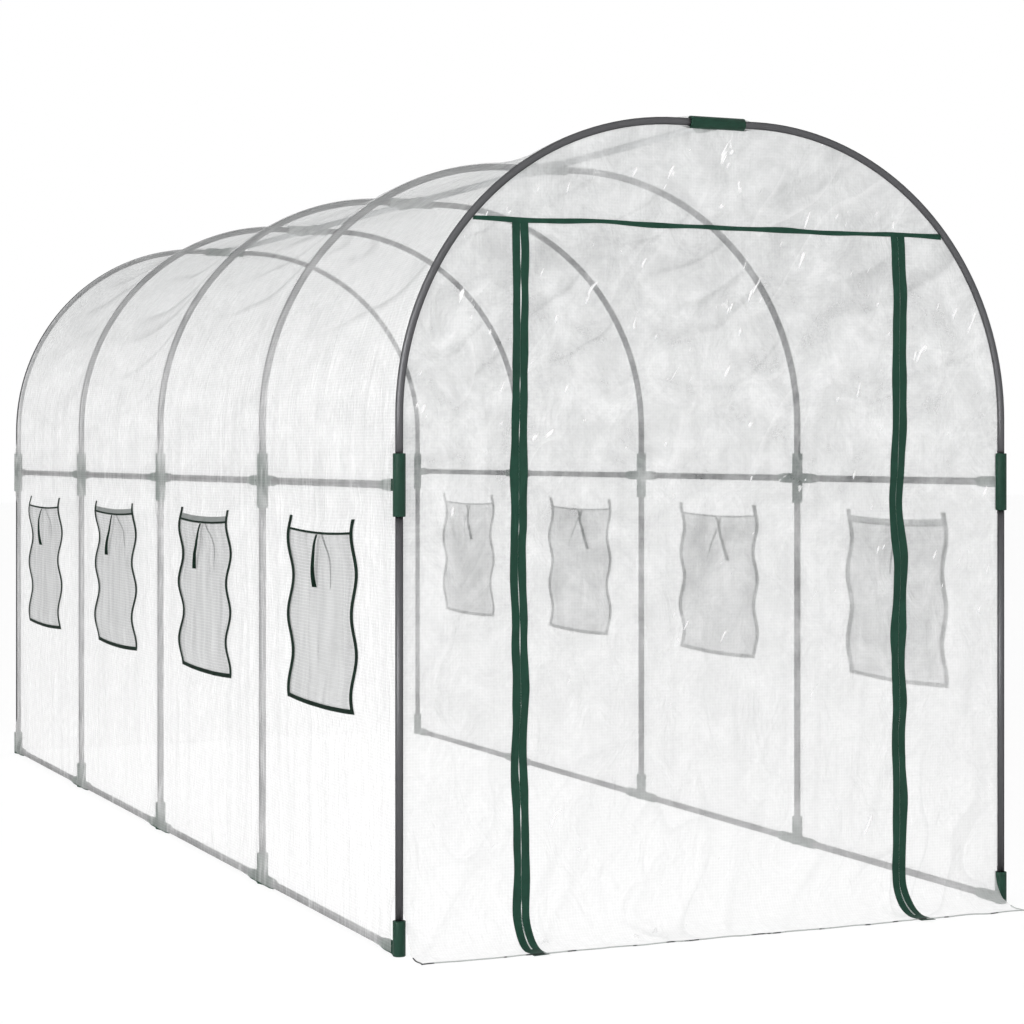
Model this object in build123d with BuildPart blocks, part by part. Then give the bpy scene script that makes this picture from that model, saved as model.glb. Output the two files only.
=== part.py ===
"""Polytunnel greenhouse: five tube hoops, rails, push-fit connectors and a sewn film cover.

The frame stands on the ground at z = 0. X runs across the tunnel, Y along it with the door
at the low end, and the origin is on the ground in the middle of the footprint.
"""

import os

from build123d import *

# Frame, in millimetres
bay_length = 1237.5  # between neighbouring hoop planes
bay_count = 4
base_rail_height = 15.0  # centre line of the rails on the ground
side_rail_height = 1298.0  # centre line of the side rails
arch_upright = 190.0  # straight part of an arch tube above the side rail
bend_radius = 860.0  # centre line of the shoulder bend
crown_straight = 130.0  # straight part of an arch tube beside the ridge
tube_diameter = 22.0
round_sides = 8  # flat sides that stand for the round of a tube or sleeve

# Push-fit connectors
sleeve_diameter = 36.0
arm_diameter = 34.0
side_sleeve_length = 175.0
crown_sleeve_length = 178.0
base_sleeve_height = 98.0
arm_length = 120.0  # from the hoop plane to the mouth of a rail socket
arm_taper_length = 24.0
arm_mouth_diameter = 28.0
socket_clearance = 0.3  # around a tube, on the radius
socket_stop = 22.0  # from the connector's centre to the end of a socket
tube_end_gap = 2.0  # between a tube's end and the end of its socket

# Film cover
film_thickness = 2.0
film_clearance = 0.3  # between film and frame
film_hem_height = 10.0  # lower edge of the side walls above the ground
skirt_radius = 100.0  # where an end sheet turns out onto the ground
skirt_flat = 41.0  # from the end of that turn to the toe of the skirt
seam_gap = 2.0  # between film pieces that meet under a tape

# Tapes and zips of the door
stitch_gap = 0.3  # between a tape and the film that it lies on
header_drop = 304.0  # from the crown down to the header tape
header_width = 14.0
zip_spacing = 1248.0  # between the centre lines of the two zips
zip_width = 50.0
zip_tape_thickness = 1.6
coil_width = 4.0
coil_thickness = 2.6

# Windows
window_width = 575.0
window_height = 516.0
window_drop = 142.0  # from the side rail down to the window's head
binding_thickness = 1.5
side_binding_width = 25.0
sill_binding_width = 16.0
head_binding_width = 12.0
ear_height = 40.0  # side bindings above the head of the window
tie_width = 16.0
tie_length = 170.0
tie_thickness = 1.5
tie_lean = 12.0  # degrees from the plumb line

# Values that follow from those above
half_width = bend_radius + crown_straight  # from the ridge to a leg's centre line
hoop_width = 2 * half_width
tube_radius = tube_diameter / 2
sleeve_radius = sleeve_diameter / 2
bore_radius = tube_radius + socket_clearance
spring_height = side_rail_height + arch_upright
crown_height = spring_height + bend_radius
header_height = crown_height - header_drop
tube_stop = socket_stop + tube_end_gap
half_tunnel = bay_count * bay_length / 2
hoop_places = [hoop * bay_length - half_tunnel for hoop in range(bay_count + 1)]
front_plane, back_plane = hoop_places[0], hoop_places[-1]
film_offset = sleeve_radius + film_clearance  # inner face of the film outside the hoop line
film_outer_offset = film_offset + film_thickness
frame_gap = tube_radius + film_clearance  # from a tube's centre line to a film edge beside it
skirt_turn = skirt_radius + film_thickness / 2
skirt_reach = skirt_turn + skirt_flat
window_head = side_rail_height - window_drop
window_sill = window_head - window_height
window_centre_height = window_head - window_height / 2
half_zip_spacing = zip_spacing / 2
sides = {"left": -1, "right": 1}


def save(part, name):
    """Label a finished piece and write it as its own file."""
    part.label = name
    export_step(part, f"parts/{name}.step")


def round_section(plane, radius):
    """The section of a tube, sleeve or socket, with a corner on each axis of its plane."""
    with BuildSketch(plane) as section:
        RegularPolygon(radius, round_sides)
    return section.sketch


# Hoops: two bent tubes that meet in the crown connector, and two straight legs
def arch_tubes(hoop_place):
    with BuildPart() as arch:
        with BuildLine(Plane.XZ.offset(-hoop_place)) as centre_line:
            upright = Line((half_width, side_rail_height + tube_stop), (half_width, spring_height))
            shoulder = JernArc(upright @ 1, upright % 1, bend_radius, 90)
            Line(shoulder @ 1, (tube_stop, crown_height))
        sweep(round_section(Plane(upright @ 0), tube_radius), path=centre_line.line)
        mirror(about=Plane.YZ)
    return arch.part


def leg_tubes(side):
    leg_foot = base_rail_height + tube_stop
    with BuildPart() as legs:
        for place in hoop_places:
            foot = round_section(Plane((side * half_width, place, leg_foot)), tube_radius)
            extrude(foot, amount=side_rail_height - tube_stop - leg_foot)
    return legs.part


# Rails: one straight tube in each bay, pushed into the connectors at both ends
def rail_tubes(across, height):
    with BuildPart() as rails:
        for place in hoop_places[:-1]:
            start = Plane((across, place + tube_stop, height), z_dir=(0, 1, 0))
            extrude(round_section(start, tube_radius), amount=bay_length - 2 * tube_stop)
    return rails.part


# Connectors: a sleeve on the hoop, and an arm with a socket for each rail that meets it
def rail_directions(hoop_place):
    towards_back = [1] if hoop_place < back_plane else []
    towards_front = [-1] if hoop_place > front_plane else []
    return towards_back + towards_front


def add_sleeve(centre, direction, low, high):
    """A sleeve along a direction, from a low to a high place that are counted from its centre."""
    extrude(round_section(Plane(centre, z_dir=direction).offset(low), sleeve_radius), amount=high - low)


def cut_socket(centre, direction, mouth):
    """A blind socket that opens at the mouth, counted from the connector's centre."""
    mouth_plane = Plane(centre, z_dir=direction).offset(mouth)
    extrude(round_section(mouth_plane, bore_radius), amount=socket_stop - mouth, mode=Mode.SUBTRACT)


def add_rail_arms(centre, hoop_place):
    straight_length = arm_length - arm_taper_length
    for direction in rail_directions(hoop_place):
        root = Plane(centre, z_dir=(0, direction, 0))
        shoulder = round_section(root.offset(straight_length), arm_diameter / 2)
        mouth = round_section(root.offset(arm_length), arm_mouth_diameter / 2)
        extrude(round_section(root, arm_diameter / 2), amount=straight_length)
        loft([shoulder, mouth])


def cut_rail_sockets(centre, hoop_place):
    for direction in rail_directions(hoop_place):
        cut_socket(centre, (0, direction, 0), arm_length)


def side_connector(side, hoop_place):
    centre = (side * half_width, hoop_place, side_rail_height)
    half_sleeve = side_sleeve_length / 2
    with BuildPart() as connector:
        add_sleeve(centre, (0, 0, 1), -half_sleeve, half_sleeve)
        add_rail_arms(centre, hoop_place)
        cut_socket(centre, (0, 0, 1), half_sleeve)
        cut_socket(centre, (0, 0, -1), half_sleeve)
        cut_rail_sockets(centre, hoop_place)
    return connector.part


def crown_connector(hoop_place):
    centre = (0, hoop_place, crown_height)
    half_sleeve = crown_sleeve_length / 2
    with BuildPart() as connector:
        add_sleeve(centre, (1, 0, 0), -half_sleeve, half_sleeve)
        add_rail_arms(centre, hoop_place)
        cut_socket(centre, (1, 0, 0), half_sleeve)
        cut_socket(centre, (-1, 0, 0), half_sleeve)
        cut_rail_sockets(centre, hoop_place)
    return connector.part


def base_connector(side, hoop_place):
    centre = (side * half_width, hoop_place, base_rail_height)
    leg_mouth = base_sleeve_height - base_rail_height
    with BuildPart() as connector:
        add_sleeve(centre, (0, 0, 1), -base_rail_height, leg_mouth)
        add_rail_arms(centre, hoop_place)
        split(bisect_by=Plane.XY, keep=Keep.TOP)
        cut_socket(centre, (0, 0, 1), leg_mouth)
        cut_rail_sockets(centre, hoop_place)
    return connector.part


# Cover: outlines that follow the hoop, and the film pieces cut from them
def hoop_outline(plane, offset, foot_height):
    """The tunnel's section, offset from the hoop's centre line, down to a foot height."""
    with BuildSketch(plane) as outline:
        with Locations((0, foot_height)):
            Rectangle(
                hoop_width + 2 * offset,
                crown_height + offset - foot_height,
                align=(Align.CENTER, Align.MIN),
            )
        fillet(outline.vertices().group_by(Axis.Y)[-1], bend_radius + offset)
    return outline.sketch


def bay_span(bay):
    """Where a bay's film starts and ends: on the hoop planes, or just clear of an end hoop."""
    start, end = hoop_places[bay], hoop_places[bay + 1]
    if bay == 0:
        start += frame_gap
    if bay == bay_count - 1:
        end -= frame_gap
    return start, end


def roof_sheet(bay):
    start, end = bay_span(bay)
    section_plane = Plane.XZ.offset(-start)
    with BuildPart() as roof:
        extrude(hoop_outline(section_plane, film_outer_offset, side_rail_height), amount=start - end)
        extrude(
            hoop_outline(section_plane, film_offset, side_rail_height),
            amount=start - end,
            mode=Mode.SUBTRACT,
        )
    return roof.part


def window_place(bay):
    return (hoop_places[bay] + hoop_places[bay + 1]) / 2


def wall_plane(side, stand_off):
    """A plane on the wall's outer face, moved out by a stand-off, with local x along the tunnel."""
    return Plane(
        origin=(side * (half_width + film_outer_offset + stand_off), 0, 0),
        x_dir=(0, side, 0),
        z_dir=(side, 0, 0),
    )


def wall_sheet(side, bay):
    start, end = bay_span(bay)
    with BuildPart() as wall:
        with BuildSketch(wall_plane(side, 0)):
            with Locations((side * (start + end) / 2, (film_hem_height + side_rail_height) / 2)):
                Rectangle(end - start, side_rail_height - film_hem_height)
            with Locations((side * window_place(bay), window_centre_height)):
                Rectangle(window_width, window_height, mode=Mode.SUBTRACT)
        extrude(amount=-film_thickness)
    return wall.part


# Windows: insect mesh in each opening, a binding round it and a pair of ties
def window_meshes(side):
    with BuildPart() as meshes:
        with BuildSketch(wall_plane(side, 0)):
            for bay in range(bay_count):
                with Locations((side * window_place(bay), window_centre_height)):
                    Rectangle(window_width - 2 * stitch_gap, window_height - 2 * stitch_gap)
        extrude(amount=-film_thickness)
    return meshes.part


def window_bindings(side):
    with BuildPart() as bindings:
        with BuildSketch(wall_plane(side, stitch_gap)):
            for bay in range(bay_count):
                middle = side * window_place(bay)
                for end in (-1, 1):
                    with Locations((middle + end * window_width / 2, window_sill - sill_binding_width / 2)):
                        Rectangle(
                            side_binding_width,
                            window_height + ear_height + sill_binding_width / 2,
                            align=(Align.CENTER, Align.MIN),
                        )
                with Locations((middle, window_sill)):
                    Rectangle(window_width, sill_binding_width)
                with Locations((middle, window_head)):
                    Rectangle(window_width, head_binding_width)
        extrude(amount=binding_thickness)
    return bindings.part


def window_ties(side):
    """An outer tie over the binding and an inner one behind the film, hung from the window's head."""
    outer_stand_off = stitch_gap + binding_thickness + stitch_gap
    inner_stand_off = -(film_thickness + stitch_gap + tie_thickness)
    with BuildPart() as ties:
        for stand_off, lean in ((outer_stand_off, side * tie_lean), (inner_stand_off, -side * tie_lean)):
            with BuildSketch(wall_plane(side, stand_off)):
                for bay in range(bay_count):
                    with Locations(Location((side * window_place(bay), window_head), lean)):
                        Rectangle(tie_width, tie_length, align=(Align.CENTER, Align.MAX))
            extrude(amount=tie_thickness)
    return ties.part


# End sheets: upright film inside the end hoop that turns out onto the ground as a skirt
def add_curtain(outward, plane_place, low_x, high_x, stand_off, thickness):
    """Film or tape between two x places that hangs in an end hoop and turns out along the ground.

    The stand-off moves its inner face outwards from the middle of the film.
    """
    depth = stand_off + thickness
    upright = plane_place + outward * stand_off
    upright_outer = plane_place + outward * depth
    turn = plane_place + outward * skirt_turn
    toe = plane_place + outward * skirt_reach
    ground = stand_off + film_thickness / 2
    ground_outer = depth + film_thickness / 2
    turn_height = skirt_radius + film_thickness
    with BuildSketch(Plane.YZ.offset(low_x)) as section:
        with BuildLine():
            inner = Line((upright, crown_height), (upright, turn_height))
            inner_bend = RadiusArc(inner @ 1, (turn, ground), -outward * (turn_height - ground))
            inner_flat = Line(inner_bend @ 1, (toe, ground))
            toe_edge = Line(inner_flat @ 1, (toe, ground_outer))
            outer_flat = Line(toe_edge @ 1, (turn, ground_outer))
            outer_bend = RadiusArc(
                outer_flat @ 1, (upright_outer, turn_height), outward * (turn_height - ground_outer)
            )
            outer = Line(outer_bend @ 1, (upright_outer, crown_height))
            Line(outer @ 1, inner @ 0)
        make_face()
    extrude(section.sketch, amount=high_x - low_x)


def keep_inside_hoop(plane_place, low_z, high_z):
    """Trim end film to the opening of an end hoop, between two heights and clear of its connectors."""
    edge_plane = Plane.XZ.offset(-plane_place - skirt_reach)
    with BuildSketch(edge_plane) as opening:
        add(hoop_outline(Plane.XY, -frame_gap, 0))
        with Locations((0, low_z)):
            Rectangle(hoop_width, high_z - low_z, align=(Align.CENTER, Align.MIN), mode=Mode.INTERSECT)
    extrude(opening.sketch, amount=2 * skirt_reach, mode=Mode.INTERSECT)
    notch = 2 * (sleeve_radius + film_clearance)
    side_notch = side_sleeve_length + 2 * film_clearance
    base_notch = 2 * (base_sleeve_height + film_clearance)
    crown_notch = crown_sleeve_length + 2 * film_clearance
    for side in sides.values():
        with Locations((side * half_width, plane_place, side_rail_height)):
            Box(notch, notch, side_notch, mode=Mode.SUBTRACT)
        with Locations((side * half_width, plane_place, 0)):
            Box(notch, notch, base_notch, mode=Mode.SUBTRACT)
    with Locations((0, plane_place, crown_height)):
        Box(crown_notch, notch, notch, mode=Mode.SUBTRACT)


def end_sheet(outward, plane_place, low_x, high_x, low_z, high_z):
    with BuildPart() as sheet:
        add_curtain(outward, plane_place, low_x, high_x, -film_thickness / 2, film_thickness)
        keep_inside_hoop(plane_place, low_z, high_z)
    return sheet.part


def zip_strip(middle):
    """Two tapes and the coil between them, on the outer face of the front film."""
    face = film_thickness / 2 + stitch_gap
    half_coil = coil_width / 2
    with BuildPart() as strip:
        for low_x, high_x, thickness in (
            (middle - zip_width / 2, middle - half_coil - stitch_gap, zip_tape_thickness),
            (middle - half_coil, middle + half_coil, coil_thickness),
            (middle + half_coil + stitch_gap, middle + zip_width / 2, zip_tape_thickness),
        ):
            add_curtain(-1, front_plane, low_x, high_x, face, thickness)
        with Locations((0, 0, header_height - header_width / 2 - stitch_gap)):
            Box(
                hoop_width,
                2 * (half_tunnel + skirt_reach),
                crown_height,
                align=(Align.CENTER, Align.CENTER, Align.MIN),
                mode=Mode.SUBTRACT,
            )
    return strip.part


def header_tape():
    face_place = front_plane - film_thickness / 2 - stitch_gap
    with BuildPart() as tape:
        with BuildSketch(Plane.XZ.offset(-face_place)):
            add(hoop_outline(Plane.XY, -frame_gap, 0))
            with Locations((0, header_height)):
                Rectangle(hoop_width, header_width, mode=Mode.INTERSECT)
        extrude(amount=zip_tape_thickness)
    return tape.part


os.makedirs("parts", exist_ok=True)

for number, place in enumerate(hoop_places, start=1):
    save(arch_tubes(place), f"hoop_{number}_arch")

save(rail_tubes(0, crown_height), "ridge_rails")
save(Compound(children=[crown_connector(place) for place in hoop_places]), "crown_connectors")

for side_name, side in sides.items():
    save(leg_tubes(side), f"{side_name}_legs")
    save(rail_tubes(side * half_width, side_rail_height), f"{side_name}_side_rails")
    save(rail_tubes(side * half_width, base_rail_height), f"{side_name}_base_rails")
    side_set = [side_connector(side, place) for place in hoop_places]
    base_set = [base_connector(side, place) for place in hoop_places]
    save(Compound(children=side_set), f"{side_name}_side_connectors")
    save(Compound(children=base_set), f"{side_name}_base_connectors")
    for bay in range(bay_count):
        save(wall_sheet(side, bay), f"{side_name}_wall_sheet_{bay + 1}")
    save(window_meshes(side), f"{side_name}_window_meshes")
    save(window_bindings(side), f"{side_name}_window_bindings")
    save(window_ties(side), f"{side_name}_window_ties")
    save(zip_strip(side * half_zip_spacing), f"{side_name}_door_zip")

for bay in range(bay_count):
    save(roof_sheet(bay), f"roof_sheet_{bay + 1}")

half_seam = seam_gap / 2
door_edge = half_zip_spacing - half_seam
panel_edge = half_zip_spacing + half_seam
below_header = header_height - half_seam
above_header = header_height + half_seam
save(end_sheet(-1, front_plane, -half_width, half_width, above_header, crown_height), "front_gable_sheet")
save(end_sheet(-1, front_plane, -half_width, -panel_edge, 0, below_header), "front_left_sheet")
save(end_sheet(-1, front_plane, panel_edge, half_width, 0, below_header), "front_right_sheet")
save(end_sheet(-1, front_plane, -door_edge, door_edge, 0, below_header), "door_sheet")
save(end_sheet(1, back_plane, -half_width, half_width, 0, crown_height), "back_sheet")
save(header_tape(), "header_tape")
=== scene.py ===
# %% [markdown]
# # A polytunnel greenhouse
# Five tube hoops, push-fit connectors and a film cover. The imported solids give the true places, and
# this lesson dresses them: round tubes, moulded fittings, creased film, mesh windows and sewn tapes.

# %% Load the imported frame
import math

import bmesh
import bpy
from mathutils import Matrix, Vector, noise


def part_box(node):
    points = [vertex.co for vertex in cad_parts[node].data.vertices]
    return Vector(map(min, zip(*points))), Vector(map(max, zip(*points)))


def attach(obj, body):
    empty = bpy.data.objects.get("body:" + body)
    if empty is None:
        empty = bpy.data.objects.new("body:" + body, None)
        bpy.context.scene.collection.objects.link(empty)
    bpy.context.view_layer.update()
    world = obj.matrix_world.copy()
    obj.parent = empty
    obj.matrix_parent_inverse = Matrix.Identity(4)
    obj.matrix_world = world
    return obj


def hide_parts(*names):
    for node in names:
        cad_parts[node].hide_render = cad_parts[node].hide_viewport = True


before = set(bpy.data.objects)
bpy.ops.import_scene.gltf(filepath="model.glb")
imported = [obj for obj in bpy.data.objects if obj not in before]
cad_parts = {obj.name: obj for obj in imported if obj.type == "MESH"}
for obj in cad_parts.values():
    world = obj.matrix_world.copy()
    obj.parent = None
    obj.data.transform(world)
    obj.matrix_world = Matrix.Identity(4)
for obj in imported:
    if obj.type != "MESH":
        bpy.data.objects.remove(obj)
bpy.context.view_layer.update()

# %% [markdown]
# ## Sizes
# The solids already hold nearly every size, so they are read from the boxes of the nodes. Only the
# bend of a hoop can't be read from a box, so its straight part and its radius are written here.

# %% Sizes read from the frame
arch_low, arch_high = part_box("hoop_1_arch")
tube_radius = (arch_high.y - arch_low.y) / 2
half_width = arch_high.x - tube_radius
crown_height = arch_high.z - tube_radius
hoop_places = [sum(corner.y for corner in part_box(f"hoop_{number}_arch")) / 2 for number in range(1, 6)]
front_place, back_place = hoop_places[0], hoop_places[-1]

bend_radius = 0.860
crown_straight = half_width - bend_radius
spring_height = crown_height - bend_radius

side_low, side_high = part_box("right_side_connectors")
side_rail_height = (side_low.z + side_high.z) / 2
base_rail_height = sum(corner.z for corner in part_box("right_base_rails")) / 2
sleeve_radius = (side_high.x - side_low.x) / 2
base_sleeve_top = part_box("right_base_connectors")[1].z
crown_sleeve_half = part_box("crown_connectors")[1].x

tube_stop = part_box("ridge_rails")[0].y - front_place
film_hem_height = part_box("right_wall_sheet_1")[0].z
print(f"{len(hoop_places)} hoops, tube radius {tube_radius:.4f} m, sleeve radius {sleeve_radius:.4f} m")

# %% [markdown]
# ## Helpers
# Colours are written as sRGB hex, as a paint chart gives them, and turned to linear light in one
# place. One function adds a shader node with its settings and links, and one turns a finished bmesh
# into a piece that rides on the frame.

# %% Colour, node and piece helpers
def linear(hex_colour):
    """Linear light of an sRGB hex colour, with full alpha."""
    channels = [int(hex_colour[place:place + 2], 16) / 255 for place in (1, 3, 5)]
    return [c / 12.92 if c <= 0.04045 else ((c + 0.055) / 1.055) ** 2.4 for c in channels] + [1.0]


def add_node(tree, kind, inputs=None, **settings):
    """Add a node, set its properties, then fill its inputs with values or links."""
    node = tree.nodes.new(kind)
    for name, value in settings.items():
        setattr(node, name, value)
    for name, value in (inputs or {}).items():
        if isinstance(value, bpy.types.NodeSocket):
            tree.links.new(value, node.inputs[name])
        else:
            node.inputs[name].default_value = value
    return node


def new_material(name):
    """An empty material, its tree and its output."""
    material = bpy.data.materials.new(name)
    material.use_nodes = True
    material.node_tree.nodes.clear()
    output = add_node(material.node_tree, "ShaderNodeOutputMaterial")
    return material, material.node_tree, output


def finish_piece(bm, name, material, nodes=(), smooth=True):
    """Turn a bmesh into an object at the origin that rides on the frame and stands for its nodes."""
    mesh = bpy.data.meshes.new(name)
    for face in bm.faces:
        face.smooth = smooth
    bm.to_mesh(mesh)
    bm.free()
    piece = bpy.data.objects.new(name, mesh)
    bpy.context.scene.collection.objects.link(piece)
    mesh.materials.append(material)
    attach(piece, "root")
    if nodes:
        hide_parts(*nodes)
    print(f"{name}: {len(mesh.polygons)} faces")
    return piece


def smooth_step(low, high, value):
    """Rise from 0 to 1 between two values, level at both ends."""
    share = min(max((value - low) / (high - low), 0.0), 1.0)
    return share * share * (3 - 2 * share)


def bell(distance, reach):
    """1 at no distance, falling away over a reach."""
    return math.exp(-((distance / reach) ** 2))


def ripple(x, y, z):
    """Smooth noise between about -1 and 1."""
    return noise.noise(Vector((x, y, z)))


print("mid grey #808080 is", round(linear("#808080")[0], 3), "in linear light")

# %% [markdown]
# ## Camera
# The photograph's upright lines stay parallel. A camera tilted down to frame the tunnel would make
# the legs lean, so this one is level, and its frame is shifted until the horizon sits where it does
# in the picture.

# %% Camera at the photograph's viewing angle
lens_mm = 85.35
sensor_mm = 36.0
camera_height = 1.384
camera_across = -3.370
camera_before_door = 6.259
camera_yaw = math.radians(23.48)
horizon_shift = -0.0568

camera_data = bpy.data.cameras.new("photo_camera")
camera_data.sensor_width = sensor_mm
camera_data.lens = lens_mm
camera_data.shift_y = horizon_shift
camera = bpy.data.objects.new("photo_camera", camera_data)
camera.location = (camera_across, front_place - camera_before_door, camera_height)
camera.rotation_euler = (math.pi / 2, 0, -camera_yaw)
bpy.context.scene.collection.objects.link(camera)
bpy.context.scene.camera = camera
print("camera at", [round(value, 3) for value in camera.location])

# %% [markdown]
# ## Light and floor
# A white studio: a bright surround under a dimmer ceiling, so the roof is greyer than the walls, a
# broad soft lamp on the left that makes the near wall the brightest, a small one by the camera that
# rounds the tubes, and a white floor that keeps a breath of shadow. More light would whiten the
# background too, but it would bleach the film. So rays that show the background see the surround
# plain white, and the floor has a glow of its own, which also lights the film a little from below.

# %% White surround
world = bpy.data.worlds.new("white_studio")
bpy.context.scene.world = world
world.use_nodes = True
world.node_tree.nodes.clear()
horizon_strength = 0.88
ceiling_strength = 0.44


def seen_directly(tree):
    """1 for rays that show the background itself: camera, glossy and transmitted ones."""
    path = add_node(tree, "ShaderNodeLightPath")
    glossy = add_node(tree, "ShaderNodeMath", {0: path.outputs["Is Camera Ray"],
                                               1: path.outputs["Is Glossy Ray"]}, operation="MAXIMUM")
    return add_node(tree, "ShaderNodeMath", {0: glossy.outputs[0],
                                             1: path.outputs["Is Transmission Ray"]}, operation="MAXIMUM")


tree = world.node_tree
shown = seen_directly(tree)
direction = add_node(tree, "ShaderNodeTexCoord")
rise = add_node(tree, "ShaderNodeSeparateXYZ", {"Vector": direction.outputs["Generated"]})
falling = add_node(tree, "ShaderNodeMapRange", {"Value": rise.outputs["Z"], "From Max": 0.8,
                                                "To Min": horizon_strength, "To Max": ceiling_strength})
level = add_node(tree, "ShaderNodeMix", {"Factor": shown.outputs[0], "A": falling.outputs["Result"],
                                         "B": 1.0})
background = add_node(tree, "ShaderNodeBackground", {"Color": linear("#ffffff"),
                                                     "Strength": level.outputs["Result"]})
add_node(tree, "ShaderNodeOutputWorld", {"Surface": background.outputs[0]})
print("surround strength", horizon_strength, "falling to", ceiling_strength)

# %% Soft lamp and floor
def soft_lamp(name, place, size, watts):
    """A square soft lamp aimed at the middle of the tunnel."""
    lamp_data = bpy.data.lights.new(name, "AREA")
    lamp_data.size = size
    lamp_data.energy = watts
    lamp = bpy.data.objects.new(name, lamp_data)
    lamp.location = place
    lamp.rotation_euler = (Vector((0, 0, 1)) - lamp.location).to_track_quat("-Z", "Y").to_euler()
    bpy.context.scene.collection.objects.link(lamp)


soft_lamp("left_lamp", (-9.5, -7.0, 3.6), 2.2, 680)
soft_lamp("camera_lamp", (-3.0, -10.0, 2.6), 2.0, 60)

floor_half = 60.0
floor_sink = 0.001
floor_shadow_share = 0.18
floor_glow = 1.08
# white matt paint: it hides where the floor ends and keeps a faint shadow
material, tree, output = new_material("white_studio_floor")
paint = add_node(tree, "ShaderNodeBsdfDiffuse", {"Color": linear("#f4f4f4")})
glow = add_node(tree, "ShaderNodeEmission", {"Color": linear("#ffffff"), "Strength": floor_glow})
mixed = add_node(tree, "ShaderNodeMixShader", {0: floor_shadow_share, 1: glow.outputs[0],
                                               2: paint.outputs[0]})
tree.links.new(mixed.outputs[0], output.inputs["Surface"])
bm = bmesh.new()
bmesh.ops.create_grid(bm, x_segments=1, y_segments=1, size=floor_half)
mesh = bpy.data.meshes.new("studio_floor")
bm.to_mesh(mesh)
bm.free()
floor = bpy.data.objects.new("studio_floor", mesh)
floor.location.z = -floor_sink
bpy.context.scene.collection.objects.link(floor)
mesh.materials.append(material)
bpy.context.scene.view_settings.view_transform = "Standard"

# cheaper light sampling that looks the same, so that a final render stays under five minutes
material.cycles.emission_sampling = "NONE"
bpy.context.scene.cycles.use_light_tree = False
bpy.context.scene.cycles.light_sampling_threshold = 1.0
bpy.context.scene.cycles.max_bounces = 3  # light that has scattered more often adds nothing to see
print("floor reaches", floor_half, "m each way")

# %% [markdown]
# ## Finishes of the frame
# The tubes are thin steel with a dark grey powder coat: a satin skin with a very fine pebble. The
# ridge rails read much paler in the photograph, as bare galvanised tube does. The fittings are
# injection-moulded polypropylene, satin, with a faint flow in the colour: dark green, and grey under
# the roof, where they show no darker than the tubes. Flat colours would do from afar, but small
# drifts of tone and gloss are what make coated steel and moulded plastic look real close up.

# %% Coated steel
pebble_mm = 1.2  # a baked coat pebbles at about 0.4 mm, too fine to show
wear_mm = 166.7


def coated_steel(name, dark, light):
    """Drawn tube with a baked coat: a broad soft highlight, and edges that fall dark."""
    material, tree, output = new_material(name)
    place = add_node(tree, "ShaderNodeTexCoord").outputs["Object"]
    pebble = add_node(tree, "ShaderNodeTexNoise", {"Vector": place, "Scale": 1000 / pebble_mm,
                                                   "Detail": 2.0})
    wear = add_node(tree, "ShaderNodeTexNoise", {"Vector": place, "Scale": 1000 / wear_mm,
                                                 "Detail": 4.0}).outputs["Fac"]
    colour = add_node(tree, "ShaderNodeMix", {"Factor": wear, "A": linear(dark), "B": linear(light)},
                      data_type="RGBA")
    rough = add_node(tree, "ShaderNodeMapRange", {"Value": wear, "To Min": 0.46, "To Max": 0.56})
    bump = add_node(tree, "ShaderNodeBump", {"Height": pebble.outputs["Fac"], "Strength": 0.08,
                                             "Distance": 0.0003})
    skin = add_node(tree, "ShaderNodeBsdfPrincipled", {"Base Color": colour.outputs["Result"],
                                                       "Metallic": 1.0, "Specular Tint": linear("#181818"),
                                                       "Roughness": rough.outputs["Result"],
                                                       "Normal": bump.outputs["Normal"]})
    tree.links.new(skin.outputs[0], output.inputs["Surface"])
    return material


steel = coated_steel("powder_coated_steel", "#59595b", "#656567")
bare_steel = coated_steel("galvanised_steel", "#c6c8c9", "#d4d6d7")
print("tube finishes:", steel.name, "and", bare_steel.name)

# %% Moulded plastic
flow_mm = 71.43
grain_mm = 1.4286  # the grain of a mould is about 0.4 mm, too fine to show


def moulded_plastic(name, dark, light):
    """Injection-moulded polypropylene: a dull waxy skin whose colour drifts with the flow."""
    material, tree, output = new_material(name)
    place = add_node(tree, "ShaderNodeTexCoord").outputs["Object"]
    flow = add_node(tree, "ShaderNodeTexNoise", {"Vector": place, "Scale": 1000 / flow_mm, "Detail": 3.0})
    colour = add_node(tree, "ShaderNodeMix", {"Factor": flow.outputs["Fac"], "A": linear(dark),
                                              "B": linear(light)}, data_type="RGBA")
    grain = add_node(tree, "ShaderNodeTexNoise", {"Vector": place, "Scale": 1000 / grain_mm,
                                                  "Detail": 2.0})
    bump = add_node(tree, "ShaderNodeBump", {"Height": grain.outputs["Fac"], "Strength": 0.1,
                                             "Distance": 0.0003})
    skin = add_node(tree, "ShaderNodeBsdfPrincipled", {"Base Color": colour.outputs["Result"],
                                                       "Roughness": 0.48, "Specular IOR Level": 0.14,
                                                       "Normal": bump.outputs["Normal"]})
    tree.links.new(skin.outputs[0], output.inputs["Surface"])
    return material


green_plastic = moulded_plastic("moulded_green_polypropylene", "#183428", "#203f33")
grey_plastic = moulded_plastic("moulded_grey_polypropylene", "#8b8e8d", "#979a99")
print("fitting finishes:", green_plastic.name, "and", grey_plastic.name)

# %% [markdown]
# ## Tubes
# Each arch is two bent tubes. A curve with a round bevel would be quicker, but a ring of vertices that
# is drawn up from the side fitting, spun round the bend and drawn on to the ridge gives even faces and
# closed ends. The other half is its mirror. Legs and rails are straight.

# %% Arches
round_segments = 28
bend_steps = 40


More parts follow.
